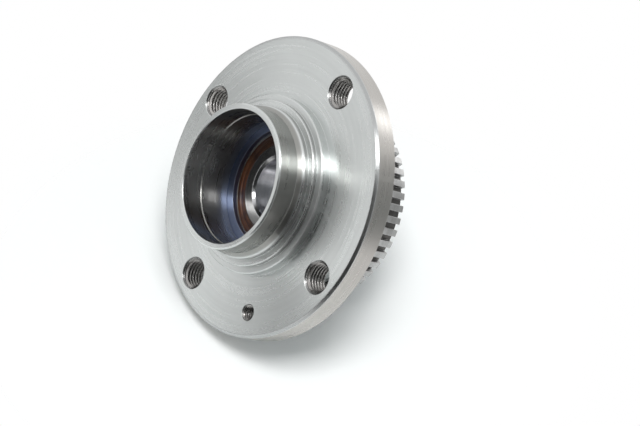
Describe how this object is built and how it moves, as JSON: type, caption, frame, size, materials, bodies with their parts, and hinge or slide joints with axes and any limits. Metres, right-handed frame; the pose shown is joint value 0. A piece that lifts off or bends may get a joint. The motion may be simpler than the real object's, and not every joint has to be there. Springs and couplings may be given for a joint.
{
  "type": "wheel hub bearing",
  "caption": "Flanged wheel hub turning on a sealed double row ball bearing, with a stepped nose, threaded wheel bolt holes and a toothed speed ring.",
  "frame": {"origin": "foot of the disc pilot on the bearing axis, in the plane of the face that the brake disc and the wheel are bolted against", "axes": "+Z along the bearing axis, outboard, out of the nose; the wheel bolt holes lie on X and Y; the locating hole lies between +X and -Y"},
  "size_m": [0.12, 0.12, 0.0653],
  "materials": {
    "hub_steel": "turned steel with a light oil film",
    "tone_ring_steel": "sintered steel with machined teeth",
    "spring_steel": "phosphated spring steel",
    "bearing_steel": "ground bearing steel",
    "ball_steel": "polished bearing steel",
    "connector_steel": "rolled strip steel",
    "cage_polyamide": "natural glass-filled polyamide",
    "seal_case_steel": "stamped sheet steel",
    "seal_rubber": "brown moulded seal rubber",
    "slinger_steel": "stamped stainless sheet"
  },
  "bodies": {
    "axle_side": {"inner_ring_outboard": "bearing_steel", "inner_ring_inboard": "bearing_steel", "inner_ring_connector": "connector_steel", "slinger_inboard": "slinger_steel"},
    "hub_side": {"hub": "hub_steel", "tone_ring": "tone_ring_steel", "circlip": "spring_steel", "bearing_outer_ring": "bearing_steel", "seal_case_outboard": "seal_case_steel", "seal_case_inboard": "seal_case_steel", "seal_lip_outboard": "seal_rubber", "seal_lip_inboard": "seal_rubber"},
    "cage_row_outboard": {"cage_outboard": "cage_polyamide"},
    "cage_row_inboard": {"cage_inboard": "cage_polyamide"},
    "ball_outboard_01_body": {"ball_outboard_01": "ball_steel"},
    "ball_outboard_02_body": {"ball_outboard_02": "ball_steel"},
    "ball_outboard_03_body": {"ball_outboard_03": "ball_steel"},
    "ball_outboard_04_body": {"ball_outboard_04": "ball_steel"},
    "ball_outboard_05_body": {"ball_outboard_05": "ball_steel"},
    "ball_outboard_06_body": {"ball_outboard_06": "ball_steel"},
    "ball_outboard_07_body": {"ball_outboard_07": "ball_steel"},
    "ball_outboard_08_body": {"ball_outboard_08": "ball_steel"},
    "ball_outboard_09_body": {"ball_outboard_09": "ball_steel"},
    "ball_outboard_10_body": {"ball_outboard_10": "ball_steel"},
    "ball_outboard_11_body": {"ball_outboard_11": "ball_steel"},
    "ball_outboard_12_body": {"ball_outboard_12": "ball_steel"},
    "ball_inboard_01_body": {"ball_inboard_01": "ball_steel"},
    "ball_inboard_02_body": {"ball_inboard_02": "ball_steel"},
    "ball_inboard_03_body": {"ball_inboard_03": "ball_steel"},
    "ball_inboard_04_body": {"ball_inboard_04": "ball_steel"},
    "ball_inboard_05_body": {"ball_inboard_05": "ball_steel"},
    "ball_inboard_06_body": {"ball_inboard_06": "ball_steel"},
    "ball_inboard_07_body": {"ball_inboard_07": "ball_steel"},
    "ball_inboard_08_body": {"ball_inboard_08": "ball_steel"},
    "ball_inboard_09_body": {"ball_inboard_09": "ball_steel"},
    "ball_inboard_10_body": {"ball_inboard_10": "ball_steel"},
    "ball_inboard_11_body": {"ball_inboard_11": "ball_steel"},
    "ball_inboard_12_body": {"ball_inboard_12": "ball_steel"}
  },
  "joints": [
    {"name": "hub_spin", "type": "hinge", "parent": "axle_side", "child": "hub_side", "pos_m": [0, 0, -0.0245], "axis": [0, 0, 1], "continuous": true},
    {"name": "cage_outboard_orbit", "type": "hinge", "parent": "axle_side", "child": "cage_row_outboard", "pos_m": [0, 0, -0.0163], "axis": [0, 0, 1], "continuous": true},
    {"name": "cage_inboard_orbit", "type": "hinge", "parent": "axle_side", "child": "cage_row_inboard", "pos_m": [0, 0, -0.0327], "axis": [0, 0, 1], "continuous": true},
    {"name": "ball_outboard_01_roll", "type": "hinge", "parent": "cage_row_outboard", "child": "ball_outboard_01_body", "pos_m": [0.01925, 0, -0.0163], "axis": [0.5878, 0, 0.809], "continuous": true},
    {"name": "ball_outboard_02_roll", "type": "hinge", "parent": "cage_row_outboard", "child": "ball_outboard_02_body", "pos_m": [0.01667, 0.00962, -0.0163], "axis": [0.509, 0.2939, 0.809], "continuous": true},
    {"name": "ball_outboard_03_roll", "type": "hinge", "parent": "cage_row_outboard", "child": "ball_outboard_03_body", "pos_m": [0.00962, 0.01667, -0.0163], "axis": [0.2939, 0.509, 0.809], "continuous": true},
    {"name": "ball_outboard_04_roll", "type": "hinge", "parent": "cage_row_outboard", "child": "ball_outboard_04_body", "pos_m": [0, 0.01925, -0.0163], "axis": [0, 0.5878, 0.809], "continuous": true},
    {"name": "ball_outboard_05_roll", "type": "hinge", "parent": "cage_row_outboard", "child": "ball_outboard_05_body", "pos_m": [-0.00962, 0.01667, -0.0163], "axis": [-0.2939, 0.509, 0.809], "continuous": true},
    {"name": "ball_outboard_06_roll", "type": "hinge", "parent": "cage_row_outboard", "child": "ball_outboard_06_body", "pos_m": [-0.01667, 0.00962, -0.0163], "axis": [-0.509, 0.2939, 0.809], "continuous": true},
    {"name": "ball_outboard_07_roll", "type": "hinge", "parent": "cage_row_outboard", "child": "ball_outboard_07_body", "pos_m": [-0.01925, 0, -0.0163], "axis": [-0.5878, 0, 0.809], "continuous": true},
    {"name": "ball_outboard_08_roll", "type": "hinge", "parent": "cage_row_outboard", "child": "ball_outboard_08_body", "pos_m": [-0.01667, -0.00962, -0.0163], "axis": [-0.509, -0.2939, 0.809], "continuous": true},
    {"name": "ball_outboard_09_roll", "type": "hinge", "parent": "cage_row_outboard", "child": "ball_outboard_09_body", "pos_m": [-0.00962, -0.01667, -0.0163], "axis": [-0.2939, -0.509, 0.809], "continuous": true},
    {"name": "ball_outboard_10_roll", "type": "hinge", "parent": "cage_row_outboard", "child": "ball_outboard_10_body", "pos_m": [0, -0.01925, -0.0163], "axis": [0, -0.5878, 0.809], "continuous": true},
    {"name": "ball_outboard_11_roll", "type": "hinge", "parent": "cage_row_outboard", "child": "ball_outboard_11_body", "pos_m": [0.00962, -0.01667, -0.0163], "axis": [0.2939, -0.509, 0.809], "continuous": true},
    {"name": "ball_outboard_12_roll", "type": "hinge", "parent": "cage_row_outboard", "child": "ball_outboard_12_body", "pos_m": [0.01667, -0.00962, -0.0163], "axis": [0.509, -0.2939, 0.809], "continuous": true},
    {"name": "ball_inboard_01_roll", "type": "hinge", "parent": "cage_row_inboard", "child": "ball_inboard_01_body", "pos_m": [0.01859, 0.00498, -0.0327], "axis": [-0.5678, -0.1521, 0.809], "continuous": true},
    {"name": "ball_inboard_02_roll", "type": "hinge", "parent": "cage_row_inboard", "child": "ball_inboard_02_body", "pos_m": [0.01361, 0.01361, -0.0327], "axis": [-0.4156, -0.4156, 0.809], "continuous": true},
    {"name": "ball_inboard_03_roll", "type": "hinge", "parent": "cage_row_inboard", "child": "ball_inboard_03_body", "pos_m": [0.00498, 0.01859, -0.0327], "axis": [-0.1521, -0.5678, 0.809], "continuous": true},
    {"name": "ball_inboard_04_roll", "type": "hinge", "parent": "cage_row_inboard", "child": "ball_inboard_04_body", "pos_m": [-0.00498, 0.01859, -0.0327], "axis": [0.1521, -0.5678, 0.809], "continuous": true},
    {"name": "ball_inboard_05_roll", "type": "hinge", "parent": "cage_row_inboard", "child": "ball_inboard_05_body", "pos_m": [-0.01361, 0.01361, -0.0327], "axis": [0.4156, -0.4156, 0.809], "continuous": true},
    {"name": "ball_inboard_06_roll", "type": "hinge", "parent": "cage_row_inboard", "child": "ball_inboard_06_body", "pos_m": [-0.01859, 0.00498, -0.0327], "axis": [0.5678, -0.1521, 0.809], "continuous": true},
    {"name": "ball_inboard_07_roll", "type": "hinge", "parent": "cage_row_inboard", "child": "ball_inboard_07_body", "pos_m": [-0.01859, -0.00498, -0.0327], "axis": [0.5678, 0.1521, 0.809], "continuous": true},
    {"name": "ball_inboard_08_roll", "type": "hinge", "parent": "cage_row_inboard", "child": "ball_inboard_08_body", "pos_m": [-0.01361, -0.01361, -0.0327], "axis": [0.4156, 0.4156, 0.809], "continuous": true},
    {"name": "ball_inboard_09_roll", "type": "hinge", "parent": "cage_row_inboard", "child": "ball_inboard_09_body", "pos_m": [-0.00498, -0.01859, -0.0327], "axis": [0.1521, 0.5678, 0.809], "continuous": true},
    {"name": "ball_inboard_10_roll", "type": "hinge", "parent": "cage_row_inboard", "child": "ball_inboard_10_body", "pos_m": [0.00498, -0.01859, -0.0327], "axis": [-0.1521, 0.5678, 0.809], "continuous": true},
    {"name": "ball_inboard_11_roll", "type": "hinge", "parent": "cage_row_inboard", "child": "ball_inboard_11_body", "pos_m": [0.01361, -0.01361, -0.0327], "axis": [-0.4156, 0.4156, 0.809], "continuous": true},
    {"name": "ball_inboard_12_roll", "type": "hinge", "parent": "cage_row_inboard", "child": "ball_inboard_12_body", "pos_m": [0.01859, -0.00498, -0.0327], "axis": [-0.5678, 0.1521, 0.809], "continuous": true}
  ],
  "couplings": [
    {"joint": "cage_outboard_orbit", "follows": "hub_spin", "ratio": 0.5834},
    {"joint": "cage_inboard_orbit", "follows": "hub_spin", "ratio": 0.5834},
    {"joint": "ball_outboard_01_roll", "follows": "hub_spin", "ratio": 2.3576},
    {"joint": "ball_outboard_02_roll", "follows": "hub_spin", "ratio": 2.3576},
    {"joint": "ball_outboard_03_roll", "follows": "hub_spin", "ratio": 2.3576},
    {"joint": "ball_outboard_04_roll", "follows": "hub_spin", "ratio": 2.3576},
    {"joint": "ball_outboard_05_roll", "follows": "hub_spin", "ratio": 2.3576},
    {"joint": "ball_outboard_06_roll", "follows": "hub_spin", "ratio": 2.3576},
    {"joint": "ball_outboard_07_roll", "follows": "hub_spin", "ratio": 2.3576},
    {"joint": "ball_outboard_08_roll", "follows": "hub_spin", "ratio": 2.3576},
    {"joint": "ball_outboard_09_roll", "follows": "hub_spin", "ratio": 2.3576},
    {"joint": "ball_outboard_10_roll", "follows": "hub_spin", "ratio": 2.3576},
    {"joint": "ball_outboard_11_roll", "follows": "hub_spin", "ratio": 2.3576},
    {"joint": "ball_outboard_12_roll", "follows": "hub_spin", "ratio": 2.3576},
    {"joint": "ball_inboard_01_roll", "follows": "hub_spin", "ratio": 2.3576},
    {"joint": "ball_inboard_02_roll", "follows": "hub_spin", "ratio": 2.3576},
    {"joint": "ball_inboard_03_roll", "follows": "hub_spin", "ratio": 2.3576},
    {"joint": "ball_inboard_04_roll", "follows": "hub_spin", "ratio": 2.3576},
    {"joint": "ball_inboard_05_roll", "follows": "hub_spin", "ratio": 2.3576},
    {"joint": "ball_inboard_06_roll", "follows": "hub_spin", "ratio": 2.3576},
    {"joint": "ball_inboard_07_roll", "follows": "hub_spin", "ratio": 2.3576},
    {"joint": "ball_inboard_08_roll", "follows": "hub_spin", "ratio": 2.3576},
    {"joint": "ball_inboard_09_roll", "follows": "hub_spin", "ratio": 2.3576},
    {"joint": "ball_inboard_10_roll", "follows": "hub_spin", "ratio": 2.3576},
    {"joint": "ball_inboard_11_roll", "follows": "hub_spin", "ratio": 2.3576},
    {"joint": "ball_inboard_12_roll", "follows": "hub_spin", "ratio": 2.3576}
  ]
}
